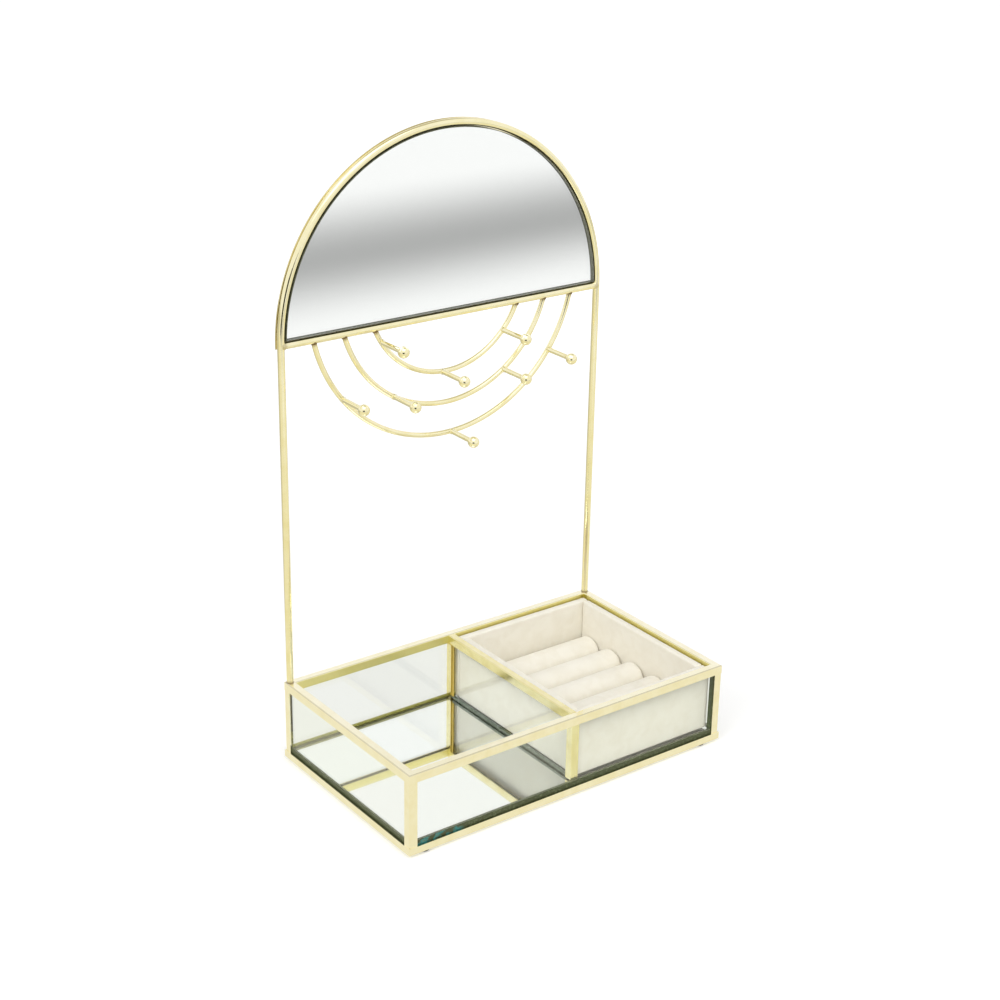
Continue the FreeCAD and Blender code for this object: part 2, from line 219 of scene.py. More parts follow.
class StandStage(bpy.types.PropertyGroup):
    """Camera, lamps, room, floor and cards."""

    eye: bpy.props.FloatVectorProperty(
        name="Eye", description="Camera's place", default=(-0.58661, -0.77167, 0.55903), unit="LENGTH"
    )
    azimuth: angle("Azimuth", "Turn of the view about Z", -36.93)
    elevation: angle("Elevation", "How far the view looks down", 22.5)
    roll: angle("Roll", "Tilt of the picture", 1.08)
    lens: number("Lens", "Focal length on a 36 mm sensor", 68.4, unit="CAMERA")
    front_power: number("Front power", "Power of the soft lamp in front", 8.2, unit="POWER")
    left_power: number("Left power", "Power of the soft lamp on the left", 15.5, unit="POWER")
    top_power: number("Top power", "Power of the soft lamp overhead", 6.2, unit="POWER")
    fill_power: number("Fill power", "Power of the soft lamp on the right", 6.0, unit="POWER")
    world_light: portion("World light", "Level of the even light from all round", 0.58)
    ceiling_rise: angle("Ceiling rise", "How high the dull part of the ceiling is", 65)
    ceiling_edge: portion("Ceiling edge", "Cosine of where the dull part begins", 0.8)
    ceiling_core: portion("Ceiling core", "Cosine of where it is dullest", 0.93)
    ceiling: colour("Ceiling", "Ceiling behind the stand, as metal shows it", "C9C4B0")
    floor_size: length("Floor", "Side of the floor", 12.0)
    floor_glow: portion("Floor glow", "Light that lifts the near floor to white", 0.2)
    far_glow: portion("Far glow", "Light that lifts the far floor to white", 0.5)
    glow_start: length("Glow start", "Where the near floor ends", 0.3)
    glow_end: length("Glow end", "Where the far floor begins", 1.1)
    paper: colour("Paper", "Paper of the floor", "F2F2F2")
    through: colour("Floor through", "Floor as the panes show it", "F1F1EE")
    band_near: length("Band near", "Where the grey card in front begins", 0.62)
    band_middle: length("Band middle", "Where the grey card is darkest", 0.85)
    band_far: length("Band far", "Where the grey card ends", 1.14)
    band: colour("Band", "Grey of the card that the arch mirror shows", "B4B4B4")
    near_front: length("Near front", "Front end of the floor beside the stand", 0.31)
    near_back: length("Near back", "Back end of the floor beside the stand", 0.124)
    near: colour("Near floor", "Floor beside the stand, as metal shows it", "F4F0DB")
    behind_front: length("Behind front", "Front end of the floor behind the stand", 0.31)
    behind: colour("Floor behind", "Floor behind the stand, as metal shows it", "CFCBBA")
    card_away: length("Card distance", "How far away the dark card stands", 1.05)
    card_width: length("Card width", "Width of the dark card", 0.7)
    card_height: length("Card height", "Height of the dark card", 0.47)
    dark: colour("Dark card", "Dark card that the balls show", "14120E")


def add_node(tree, kind, inputs=(), stops=(), **settings):
    """Adds a shader node. Settings are its own properties. Inputs, by socket name or in order,
    are constants, outputs to link, or nodes, of which the first output is linked. Stops are the
    positions and colours of a ramp."""
    node = tree.nodes.new("ShaderNode" + kind)
    for key, value in settings.items():
        setattr(node, key, value)
    for key, value in inputs.items() if isinstance(inputs, dict) else enumerate(inputs):
        if isinstance(value, bpy.types.Node):
            value = value.outputs[0]
        if isinstance(value, bpy.types.NodeSocket):
            tree.links.new(value, node.inputs[key])
        else:
            node.inputs[key].default_value = value
    for i, (position, tone) in enumerate(stops):
        ramp = node.color_ramp.elements
        stop = ramp[i] if i < len(ramp) else ramp.new(position)
        stop.position = position
        stop.color = tone
    return node


def emptied(owner):
    """Empties a material or a world, and gives the function that adds a node to it."""
    owner.use_nodes = True
    owner.node_tree.nodes.clear()
    return partial(add_node, owner.node_tree)


def per(size):
    """Scale of a pattern on Object coordinates whose features are about that size."""
    return 1 / size


def shade(kind):
    """The colour or share that is set for a finish."""
    return getattr(bpy.context.scene.stand_colours, kind)


def rim_shade_masks(add, place, width):
    """Two shares that say where shade is painted on the rim. One is 1 along the outer fold of the
    rim, where both the distance to the nearest outer face and the depth under the rim's top are
    less than the width, and fades over the last two fifths of it: there a dark line is painted as
    shade. The other is 1 on the rim's inner faces, which lie as deep as the rim is wide: there a
    deeper yellow is painted as shade, and the finish is duller."""
    low, high = span("top_rail_front")
    corner = (span("top_rail_right")[1][0], -low[1], high[2])
    away = add("VectorMath", (place,), operation="ABSOLUTE")
    past = add("VectorMath", (away, corner), operation="SUBTRACT")
    out_x, out_y, rise = add("SeparateXYZ", (past,)).outputs
    out = add("Math", (out_x, out_y), operation="MAXIMUM")
    near = add("Math", (out, rise), operation="MINIMUM")
    line = add("MapRange", {"Value": near, "From Min": -width, "From Max": -0.6 * width})
    deep = add("Math", (out, low[1] - high[1] + width / 2), operation="LESS_THAN")
    under = add("Math", (rise, -width / 2), operation="LESS_THAN")
    inside = add("Math", (deep, under), operation="MULTIPLY")
    return line, inside


def plated_brass(add, place, kind, polish, dull, rim=False):
    """Brass strip or wire, polished, plated pale gold and lacquered. The eye sees a bright warm
    mirror, whiter at a slant from the lacquer, a little cloudy where the plating is thin, with
    fine ripples left by the polish, and brown beside the solder. Along a rim's outer fold a dark
    line is painted shade. On a rim's inner faces, where the wheel doesn't reach, it is duller,
    and the deeper yellow there is painted shade. The divider's strip is yellower and a little duller."""
    cloud = add("TexNoise", {"Vector": place, "Scale": per(9 * mm), "Detail": 3.0})
    stops = ((0.3, shade(kind + "_marks")), (0.62, shade(kind)))
    plating = add("ValToRGB", (cloud,), stops=stops)
    darkened = add("Attribute", attribute_name="scorch").outputs["Fac"]
    inside = 1.0
    # On a rim, shade is painted: a dark line along the outer fold and a deeper yellow on the inner faces.
    if rim:
        line, inside = rim_shade_masks(add, place, bpy.context.scene.stand_sizes.fold)
        darkened = add("Math", (line, shade("fold_shade")), operation="MULTIPLY")
        plating = add("MixRGB", {"Fac": inside, "Color1": plating, "Color2": shade("strip_inner")})
    tone = add("MixRGB", {"Fac": darkened, "Color1": plating, "Color2": shade("scorch")})
    ripple = add("TexNoise", {"Vector": place, "Scale": per(polish), "Detail": 2.0})
    gloss = add("MapRange", {"Value": ripple, "To Min": 0.08, "To Max": 0.18})
    gloss = add("Math", (inside, dull, gloss), operation="MULTIPLY_ADD")
    bump = add("Bump", {"Height": ripple, "Strength": 0.03, "Distance": 0.05 * mm})
    metal = {"Base Color": tone, "Metallic": 1.0, "Roughness": gloss, "Normal": bump}
    return add("BsdfPrincipled", {**metal, "Coat Weight": 1.0, "Coat Roughness": 0.05})


def float_glass(add, place, kind):
    """Float glass, cut and left as it comes. The eye sees through it with a faint cast, and
    sees the room on it at a slant. Lamp light passes through it."""
    smear = add("TexNoise", {"Vector": place, "Scale": per(30 * mm), "Detail": 4.0})
    reach = {"From Min": 0.45, "From Max": 0.75, "To Min": 0.0, "To Max": 0.035}
    gloss = add("MapRange", {"Value": smear, **reach})
    glass = {"Base Color": shade(kind), "Roughness": gloss, "IOR": 1.52, "Transmission Weight": 1.0}
    pane = add("BsdfPrincipled", glass)
    clear = add("BsdfTransparent", {"Color": white})
    shadow = add("LightPath").outputs["Is Shadow Ray"]
    return add("MixShader", (shadow, pane, clear))


def ground_glass_edge(add, place, kind, grit=1.2 * mm, daylight=False):
    """Cut edge of float glass, ground on a belt, or a bead of sealant or glue beside it. The eye
    sees the dark green of a long way through glass, or the bead's own colour, broken by small
    pale chips or grit. The olive at the back is painted shade: the brass in shadow behind the back
    pane. The dark grey-green of the sealant at the divider's foot is painted shade too. Where
    daylight gets in, at the front end of the floor's left half, it is teal."""
    dark, chip = shade(kind), shade(kind + "_marks")
    chips = add("TexNoise", {"Vector": place, "Scale": per(grit), "Detail": 4.0, "Roughness": 0.65})
    tone = add("ValToRGB", (chips,), stops=((0.5, dark), (0.72, chip)))
    if daylight:
        sizes = bpy.context.scene.stand_sizes
        low = span("floor_mirror")[0]
        dim = low[0] + sizes.daylight
        corner = low[1] + sizes.daylight_corner
        x, y = add("SeparateXYZ", (place,)).outputs[:2]
        left = add("MapRange", {"Value": x, "From Min": dim, "From Max": dim - sizes.daylight_fade})
        front = add("Math", (y, corner), operation="LESS_THAN")
        zone = add("Math", (left, front), operation="MULTIPLY")
        patches = add("TexNoise", {"Vector": place, "Scale": per(4 * mm), "Detail": 3.0})
        stops = ((0.42, dark), (0.55, shade("teal")), (0.7, chip))
        lit = add("ValToRGB", (patches,), stops=stops)
        tone = add("MixRGB", {"Fac": zone, "Color1": tone, "Color2": lit})
    bump = add("Bump", {"Height": chips, "Strength": 0.4, "Distance": 0.1 * mm})
    matt = {"Base Color": tone, "Roughness": 0.35, "Specular IOR Level": 0.4, "Normal": bump}
    return add("BsdfPrincipled", matt)


def silvering(add, place, kind):
    """Silver laid on the back of float glass and painted over. The eye sees a clean cool
    reflection with the faintest haze."""
    haze = add("TexNoise", {"Vector": place, "Scale": per(45 * mm), "Detail": 3.0})
    gloss = add("MapRange", {"Value": haze, "To Min": 0.0, "To Max": 0.03})
    return add("BsdfPrincipled", {"Base Color": shade(kind), "Metallic": 1.0, "Roughness": gloss})


def short_pile_velvet(add, place, kind):
    """Off-white velvet of short cut pile glued over card or foam. The eye sees a soft matt
    cream with paler brushed patches and a bright bloom at a slant. The pile is drawn at about
    twice its real size so that it shows."""
    brushed = add("TexNoise", {"Vector": place, "Scale": per(8 * mm), "Detail": 3.0, "Distortion": 0.6})
    stops = ((0.3, shade(kind + "_marks")), (0.62, shade(kind)))
    tone = add("ValToRGB", (brushed,), stops=stops)
    pile = add("TexNoise", {"Vector": place, "Scale": per(0.5 * mm), "Detail": 2.0, "Roughness": 0.7})
    bump = add("Bump", {"Height": pile, "Strength": 0.35, "Distance": 0.2 * mm})
    matt = {"Base Color": tone, "Roughness": 0.9, "Specular IOR Level": 0.15, "Normal": bump}
    return add("BsdfPrincipled", {**matt, "Sheen Weight": 0.35, "Sheen Roughness": 0.45})


def mottled(add, place, kind, grain, roughness, depth, stretch=1.0):
    """Matt stuff of two tones, such as pressed board, rubber or foam. The eye sees grains of
    one size, longer along X where it is stretched, and no shine."""
    along = add("Mapping", {"Vector": place, "Scale": (1 / stretch, 1.0, 1.0)})
    grains = add("TexNoise", {"Vector": along, "Scale": per(grain), "Detail": 4.0})
    stops = ((0.35, shade(kind + "_marks")), (0.65, shade(kind)))
    tone = add("ValToRGB", (grains,), stops=stops)
    bump = add("Bump", {"Height": grains, "Strength": 0.4, "Distance": depth})
    return add("BsdfPrincipled", {"Base Color": tone, "Roughness": roughness, "Normal": bump})


# Each look's maker, material and settings. Its kind is its own name unless they say otherwise.
recipes = {
    # The strip's material paints shade along the rim's outer fold and on its inner faces.
    "strip": (plated_brass, "plated_brass_folded_strip", dict(polish=2.2 * mm, dull=0.25, rim=True)),
    "channel": (plated_brass, "plated_brass_divider_strip", dict(polish=2.2 * mm, dull=0.05)),
    "rod": (plated_brass, "plated_brass_drawn_rod", dict(polish=1.4 * mm, dull=0.0)),
    "glass": (float_glass, "float_glass_cut", {}),
    "clear": (float_glass, "low_iron_mirror_glass", {}),
    "edge": (ground_glass_edge, "float_glass_ground_edge", {}),
    # Olive edges and bead at the back: painted shade of the brass behind.
    "olive": (ground_glass_edge, "float_glass_back_edge", {}),
    "end": (ground_glass_edge, "float_glass_dark_end", {}),
    # Sealant at the divider's foot: its dark colour is painted shade.
    "seal": (ground_glass_edge, "gritty_sealant_bead", dict(grit=0.8 * mm)),
    "glue": (ground_glass_edge, "amber_glue_bead", {}),
    "arris": (ground_glass_edge, "mirror_glass_arris", {}),
    "teal": (ground_glass_edge, "mirror_glass_ground_edge", dict(kind="edge", daylight=True)),
    "silver": (silvering, "silvering_behind_glass", {}),
    "card": (short_pile_velvet, "short_pile_velvet_on_card", dict(kind="velvet")),
    "foam": (short_pile_velvet, "short_pile_velvet_on_foam", dict(kind="velvet")),
    # Pressed hardboard: short brown fibres lying flat, dull all over
    "board": (
        mottled,
        "pressed_hardboard",
        dict(grain=0.8 * mm, roughness=0.75, depth=0.1 * mm, stretch=4.0),
    ),
    # Moulded rubber: near black with a dusty bloom
    "rubber": (mottled, "moulded_rubber", dict(grain=1.5 * mm, roughness=0.6, depth=0.05 * mm)),
    # Foam tape: pale, with small open cells along its cut sides
    "tape": (mottled, "foam_tape_cut", dict(grain=0.4 * mm, roughness=0.85, depth=0.1 * mm)),
}
finishes = {}


def finish(look):
    """The material of that look, made the first time that it is asked for."""
    if look not in finishes:
        maker, name, settings = recipes[look]
        finishes[look] = bpy.data.materials.new(name)
        add = emptied(finishes[look])
        place = add("TexCoord").outputs["Object"]
        add("OutputMaterial", {"Surface": maker(add, place, **{"kind": look, **settings})})
    return finishes[look]


def put(name, data):
    """Object of a mesh, a lamp or a camera, linked to the scene."""
    thing = bpy.data.objects.new(name, data)
    bpy.context.scene.collection.objects.link(thing)
    return thing


def skin(rings):
    """Closed surface through a stack of rings: quads from ring to ring and a flat cap on each
    end. rings[i, j] is point j of ring i. The sign of the volume turns the faces outwards."""
    rows, count = rings.shape[:2]
    points = rings.reshape(-1, 3)
    here = np.arange(count)
    ahead = np.roll(here, -1)
    low = np.arange(rows - 1)[:, None] * count
    quads = np.stack([low + here, low + ahead, low + ahead + count, low + here + count], axis=-1)
    quads = quads.reshape(-1, 4)
    caps = np.stack([here[::-1], here + (rows - 1) * count])
    fans = np.stack([np.repeat(caps[:, :1], count - 2, axis=1), caps[:, 1:-1], caps[:, 2:]], axis=-1)
    facets = np.concatenate([quads[:, :3], quads[:, [0, 2, 3]], fans.reshape(-1, 3)])
    a, b, c = (points - points.mean(axis=0))[facets].transpose(1, 0, 2)
    if (a * np.cross(b, c)).sum() < 0:
        quads = quads[:, ::-1]
        caps = caps[:, ::-1]
    return points, quads, caps


def joined(skins):
    """Several skins as one: their points one after another, their faces counted on."""
    points, quads, caps = zip(*skins)
    starts = np.cumsum([0] + [len(part) for part in points])
    quads = [part + start for part, start in zip(quads, starts)]
    caps = [part + start for part, start in zip(caps, starts)]
    return np.concatenate(points), np.concatenate(quads), np.concatenate(caps)


def add_piece(name, body, surface, looks, replaced=(), smooth=True, around=None, scorch=None):
    """Mesh object of a skin. Its caps take the first look. Its sides take the last, or go round
    each ring by the numbers in around. Scorch is one share for each ring."""
    points, quads, caps = surface
    mesh = bpy.data.meshes.new(name)
    mesh.from_pydata(points.tolist(), [], quads.tolist() + caps.tolist())
    around = [len(looks) - 1] if around is None else around
    kinds = np.r_[np.tile(around, len(quads) // len(around)), np.zeros(len(caps), int)]
    for look in looks:
        mesh.materials.append(finish(look))
    mesh.polygons.foreach_set("material_index", kinds.astype(np.int32))
    mesh.polygons.foreach_set("use_smooth", np.r_[np.full(len(quads), smooth), np.zeros(len(caps), bool)])
    if scorch is not None:
        shares = np.repeat(scorch, len(points) // len(scorch))
        mesh.attributes.new("scorch", "FLOAT", "POINT").data.foreach_set("value", shares)
    mesh.update()
    piece = put(name, mesh)
    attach(piece, body)
    if replaced:
        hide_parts(*replaced)
    return piece


def track(x, y, z):
    """Points of a line from their coordinates, each an array or one number for all."""
    return np.stack(np.broadcast_arrays(x, y, z), axis=-1)


def tube(path, radii, across, normal, count=32):
    """Round form: each ring is the path's point plus the radius times the turn's cosine along
    one direction across the path and its sine along another."""
    turn = np.linspace(0, 2 * np.pi, count, endpoint=False)[:, None]
    ring = np.cos(turn) * across + np.sin(turn) * normal
    return skin(path[:, None, :] + radii[:, None, None] * ring)


def wire(path, radii):
    """Round wire that is bent in an upright plane."""
    normal = np.cross(np.gradient(path, axis=0), backwards)
    normal /= np.linalg.norm(normal, axis=1, keepdims=True)
    return tube(path, radii, backwards, normal[:, None, :])


def turned(steps, radii, foot, axis):
    """Turned form: each ring lies a step along the axis from the foot."""
    return tube(foot + steps[:, None] * axis, radii, sideways, np.cross(axis, sideways))


def crowded(count):
    """Shares from 0 to 1 that lie closer together near both ends, as half a cosine wave does."""
    return (1 - np.cos(np.linspace(0, np.pi, count))) / 2


def quarter(count):
    """Angles of a quarter circle."""
    return np.linspace(0, np.pi / 2, count)


def flare(distance, width):
    """Solder fillet: how far a quarter circle of that width stands off a wire, at a distance
    from the surface that the wire runs into."""
    short = np.clip(1 - distance / width, 0, 1)
    return width * (1 - np.sqrt(1 - short**2))


def fade(distance, width):
    """Share that falls in a square from 1 at the solder to 0 at the width."""
    return np.clip(1 - distance / width, 0, 1) ** 2


def rectangle(low, high, normal, near=0.0, far=0.0):
    """Corners of a box's outline seen along one axis, with its near and far end drawn in. The
    sides follow as foot, far end, top and near end."""
    u, v = (axis for axis in range(3) if axis != normal)
    corners = np.zeros((4, 3))
    corners[:, u] = low[u] + near, high[u] - far, high[u] - far, low[u] + near
    corners[:, v] = low[v], low[v], high[v], high[v]
    return corners


def ground_pane(low, high, normal, near=0.0, far=0.0):
    """Sheet of glass or a bead. Its ends may be bevelled at the face that looks to the middle of
    the stand: there the outline is drawn in by as much as the bevel is deep."""
    arris = max(near, far)
    depths = np.array([low[normal], low[normal] + arris, high[normal]])
    shares = np.array([1, 0, 0])
    if high[normal] < 0:
        depths[1] = high[normal] - arris
        shares = shares[::-1]
    keep = [0, 1, 2] if arris else [0, 2]
    rings = np.stack([rectangle(low, high, normal, share * near, share * far) for share in shares[keep]])
    rings[:, :, normal] = depths[keep, None]
    return skin(rings)


def half_round(bar, radius, flat, depth, inset, count=97):
    """Outline of a disc about the bar, cut flat over its centre and drawn in by an inset: the
    arc loses the inset in radius, and the chord rises by it."""
    reach = radius - inset
    start = math.asin((flat + inset) / reach)
    turn = np.linspace(start, np.pi - start, count)
    return track(reach * np.cos(turn), depth, bar + reach * np.sin(turn))


def rounded_outline(half_u, half_v, radius, count=9):
    """Rectangle about zero with a quarter circle at each corner."""
    turn = (quarter(count) + np.arange(4)[:, None] * np.pi / 2).ravel()
    sign_u = np.repeat([1, -1, -1, 1], count)
    sign_v = np.repeat([1, 1, -1, -1], count)
    u = sign_u * (half_u - radius) + radius * np.cos(turn)
    v = sign_v * (half_v - radius) + radius * np.sin(turn)
    return np.stack([u, v], axis=-1)


def rounded_ends(low, high, edge, rows, count=7):
    """Steps along a bar whose ends are quarter circles of the edge's width, and how far each
    step's section is drawn in."""
    turn = quarter(count)
    ends = edge * (1 - np.cos(turn))
    draw = edge * (1 - np.sin(turn))
    inner = np.linspace(low + edge, high - edge, rows + 2)[1:-1]
    return np.r_[low + ends, inner, high - ends[::-1]], np.r_[draw, np.zeros(rows), draw[::-1]]


def soft_bar(low, high, along, edge, rows=60, pull=0.98):
    """Bar with every edge rounded: a rounded outline carried along one axis, which shrinks at
    both ends by a share, the pull, of a quarter circle."""
    centre = (low + high) / 2
    half = (high - low) / 2
    u, v = (axis for axis in range(3) if axis != along)
    steps, shrink = rounded_ends(low[along], high[along], edge, rows)
    outline = rounded_outline(half[u], half[v], edge)
    rings = np.zeros((len(steps), len(outline), 3))
    rings[:, :, u] = centre[u] + outline[:, 0] * (1 - pull * shrink / half[u])[:, None]
    rings[:, :, v] = centre[v] + outline[:, 1] * (1 - pull * shrink / half[v])[:, None]
    rings[:, :, along] = steps[:, None]
    return rings


def roll_rings(low, high, sizes, rows=64, count=40):
    """Ring roll: upright sides under a crowned arc, carried along X. The section is drawn in by
    the slack, and by a quarter circle at both ends. The crown is the arc through both
    shoulders and the top."""
    slack, crown, foot = sizes.roll_slack, sizes.roll_crown, sizes.velvet_edge
    half = (high[1] - low[1]) / 2 - slack
    top = high[2] - low[2] - slack
    bow = (half**2 + crown**2) / (2 * crown)
    lean = math.asin(half / bow)
    turn = np.linspace(lean, -lean, count)
    corner = quarter(5)
    wall = np.linspace(foot, top - crown, 8)[1:-1]
    under = np.linspace(-half + foot, half - foot, 12)[1:-1]
    side_y = np.r_[np.full_like(wall, half), half - foot * (1 - np.cos(corner))]
    side_z = np.r_[wall[::-1], foot * (1 - np.sin(corner))]
    y = np.r_[bow * np.sin(turn), -side_y, under, side_y[::-1]]
    z = np.r_[top - bow + bow * np.cos(turn), side_z, np.zeros_like(under), side_z[::-1]]
    x, shrink = rounded_ends(low[0], high[0], sizes.roll_edge, rows)
    y = (low[1] + high[1]) / 2 + y * (1 - shrink / half)[:, None]
    z = low[2] + z * (1 - shrink / top)[:, None]
    return track(x[:, None], y, z)


def coordinates(mesh):
    """All points of a mesh as one array."""
    flat = np.empty(len(mesh.vertices) * 3)
    mesh.vertices.foreach_get("co", flat)
    return flat.reshape(-1, 3)


def stuff(pads, swell, grip=0.1 * mm, pressure=4, frames=20):
    """Blows pads up as cloth for some frames, with their undersides held as high as the grip,
    then keeps each point within the swell of where it was."""
    scene = bpy.context.scene
    for pad in pads:
        points = coordinates(pad.data)
        held = np.flatnonzero(points[:, 2] < points[:, 2].min() + grip)
        pad.vertex_groups.new(name="held").add(held.tolist(), 1.0, "REPLACE")
        cloth = pad.modifiers.new("stuffing", "CLOTH")
        cloth.settings.use_pressure = True
        cloth.settings.uniform_pressure_force = pressure
        cloth.settings.vertex_group_mass = "held"
        cloth.settings.effector_weights.gravity = 0
        cloth.collision_settings.use_collision = False
    for moment in range(1, frames + 1):
        scene.frame_set(moment)
    graph = bpy.context.evaluated_depsgraph_get()
    for pad in pads:
        before = coordinates(pad.data)
        move = coordinates(pad.evaluated_get(graph).data) - before
        far = np.linalg.norm(move, axis=1, keepdims=True)
        after = before + move * (swell / np.maximum(far, swell))
        pad.modifiers.clear()
        pad.vertex_groups.clear()
        pad.data.vertices.foreach_set("co", after.ravel())
        pad.data.update()
    scene.frame_set(1)


class STAND_OT_strip_frame(bpy.types.Operator):
    """Finishes the folded strip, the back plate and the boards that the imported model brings."""

    bl_idname = "stand.strip_frame"
    bl_label = "Strip frame"

    def execute(self, context):
        looks = {
            "strip": ("base_rail", "corner_post", "top_rail", "mirror_back_plate"),
            "channel": ("divider_top", "divider_front", "divider_back"),
            "board": ("base_board",),
            "tape": ("mirror_tape",),
            "card": ("insert_base",),
        }
        for name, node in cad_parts.items():
            for look, starts in looks.items():
                if name.startswith(starts):
                    node.material_slots[0].material = finish(look)
        return {"FINISHED"}


class STAND_OT_glass_panes(bpy.types.Operator):
    """Makes the four wall panes and the divider pane with ground edges, their sealant and glue. The
    sealant's dark colour and the olive bead at the back are painted shade.
    """

    bl_idname = "stand.glass_panes"
    bl_label = "Glass panes"

    def execute(self, context):
        sizes = context.scene.stand_sizes
        fit = np.full(3, sizes.hairline)
        short = fit + sizes.end_gap * sideways
        around = (1, 2, 0, 3)
        for node, faces, foot, far, near, gap in (
            ("wall_glass_front", 1, "edge", "end", "glass", short),
            ("wall_glass_right", 0, "edge", "glass", "end", fit),
            # The back pane's foot is painted olive, the shaded brass behind it.
            ("wall_glass_back", 1, "olive", "glass", "glass", short),
            ("wall_glass_left", 0, "edge", "glass", "glass", fit),
        ):
            low, high = span(node)
            bevels = [sizes.arris if end == "end" else 0.0 for end in (near, far)]
            pane = ground_pane(low + gap, high - gap, faces, *bevels)
            looks = ["glass", foot, far, near]
            add_piece(node + "_pane", "stand", pane, looks, [node], False, around)

        low, high = span("divider_glass")
        low[1] = span("divider_front_channel")[1][1]
        high[1] = span("divider_back_channel")[0][1]
        rings = np.stack([rectangle(low + fit, high - fit, 2)] * 3)
        rings[:, :, 2] = np.array([low[2], low[2] + sizes.seal, high[2]])[:, None]
        rings[0, :, 2] += sizes.hairline
        pane = skin(rings)
        # The pane's lowest band is sealant, painted dark grey-green as the shade at the divider's foot.
        looks = ["seal", "glass", "glue"]
        around = (0, 0, 0, 0, 2, 1, 2, 1)
        add_piece("divider_pane", "stand", pane, looks, ["divider_glass"], False, around)
        lip_low = np.array([low[0] - sizes.lip_rise, high[1] - sizes.lip, low[2] + sizes.seal])
        lip_high = np.array([low[0], high[1], span("divider_back_channel")[1][2]])
        lip = ground_pane(lip_low, lip_high - sizes.hairline * backwards, 2)
        add_piece("divider_glue", "stand", lip, ["glue"], smooth=False)
        # Bead at the back pane's foot, painted olive as the shaded brass behind it.
        back = span("wall_glass_back")[0]
        bead_low = np.array([back[0], back[1] - sizes.back_seal, low[2]]) + 2 * fit
        bead_high = np.array([low[0], back[1], low[2] + sizes.back_seal]) - fit
        bead = ground_pane(bead_low, bead_high, 2)
        add_piece("back_sealant", "stand", bead, ["olive"], smooth=False)
        return {"FINISHED"}


class STAND_OT_mirrors(bpy.types.Operator):
    """Makes the floor mirror and the half-round arch mirror, each a glass with silver behind."""

    bl_idname = "stand.mirrors"
    bl_label = "Mirrors"

    def execute(self, context):
        sizes = context.scene.stand_sizes
        low, high = span("floor_mirror")
        seam = high[2] - sizes.silver_depth
        glass_low = np.array([low[0], low[1], seam + sizes.hairline])
        glass = ground_pane(glass_low, high - sizes.hairline * upwards, 2)
        silver = ground_pane(low, np.array([high[0], high[1], seam]), 2)
        # The floor glass's back end is painted olive, the shaded brass behind it.
        ends = ("teal", "edge", "olive")
        around = (1, 2, 3, 2)
        for name, pane, face, replaced in (
            ("floor_mirror_glass", glass, "clear", ["floor_mirror"]),
            ("floor_mirror_silver", silver, "silver", ()),
        ):
            add_piece(name, "stand", pane, [face, *ends], replaced, False, around)

        low, high = span("arch_mirror")
        bar = middle("crossbar")[0][2]
        disc = (bar, high[2] - bar, low[2] - bar)
        arris = sizes.mirror_arris
        back = high[1] - sizes.silver - sizes.hairline
        depths = (low[1], low[1] + arris, back - sizes.hairline, back)
        insets = (arris, 0, 0, sizes.hairline)
        glass = skin(np.stack([half_round(*disc, *ring) for ring in zip(depths, insets)]))
        looks = ["clear", "arris"]
        add_piece("arch_mirror_glass", "stand", glass, looks, ["arch_mirror"], False)
        depths = (high[1] - sizes.silver, high[1])
        silver = skin(np.stack([half_round(*disc, depth, sizes.hairline) for depth in depths]))
        add_piece("arch_mirror_silver", "stand", silver, ["silver"], smooth=False)
        return {"FINISHED"}


class STAND_OT_arch_rods(bpy.types.Operator):
    """Makes the bent arch and its crossbar, with solder where they meet."""

    bl_idname = "stand.arch_rods"
    bl_label = "Arch rods"

    def execute(self, context):
        sizes = context.scene.stand_sizes
        centre, half = middle("arch_rod")
        bar = middle("crossbar")[0][2]
        depth, rod = centre[1], half[1]
        reach = half[0] - rod
        leg = bar - span("arch_rod")[0][2]
        bend = np.pi * reach
        run = crowded(arch_rings) * (2 * leg + bend)
        turn = np.clip((run - leg) / reach, 0, np.pi)
        fall = np.clip(leg - run, 0, leg) + np.clip(run - leg - bend, 0, leg)
        path = track(-reach * np.cos(turn), depth, bar + reach * np.sin(turn) - fall)
        clear = np.minimum(run, run[-1] - run)
        arch = wire(path, rod + flare(clear, sizes.foot_solder))
        darkened = fade(clear, sizes.scorch)
        add_piece("arch_rod_bent", "stand", arch, ["rod"], ["arch_rod"], scorch=darkened)

        path = track((crowded(bar_rings) * 2 - 1) * reach, depth, bar)
        clear = np.maximum(reach - np.abs(path[:, 0]) - rod, 0)
        crossbar = wire(path, rod + flare(clear, sizes.solder))
        darkened = shade("bar_brown") * fade(clear, sizes.scorch)
        add_piece("crossbar_rod", "stand", crossbar, ["rod"], ["crossbar"], scorch=darkened)
        return {"FINISHED"}


class STAND_OT_hanging_arcs(bpy.types.Operator):
    """Makes the three arcs that hang from the crossbar."""

    bl_idname = "stand.hanging_arcs"
    bl_label = "Hanging arcs"

    def execute(self, context):
        sizes = context.scene.stand_sizes
        bar_centre, bar_half = middle("crossbar")
        top = bar_centre[2] + sizes.arc_rise
        under = bar_centre[2] - bar_half[2]
        for name in arcs:
            node = "hanger_arc_" + name
            centre, half = middle(node)
            gauge = half[1]
            reach = top - span(node)[0][2] - gauge
            turn = (crowded(arc_rings) * 2 - 1) * math.acos(sizes.arc_rise / reach)
            path = track(reach * np.sin(turn), centre[1], top - reach * np.cos(turn))
            clear = np.maximum(under - path[:, 2], 0)
            arc = wire(path, gauge + flare(clear, sizes.solder))
            darkened = fade(clear, sizes.scorch)
            add_piece("hanger_wire_" + name, "stand", arc, ["rod"], [node], scorch=darkened)
        return {"FINISHED"}


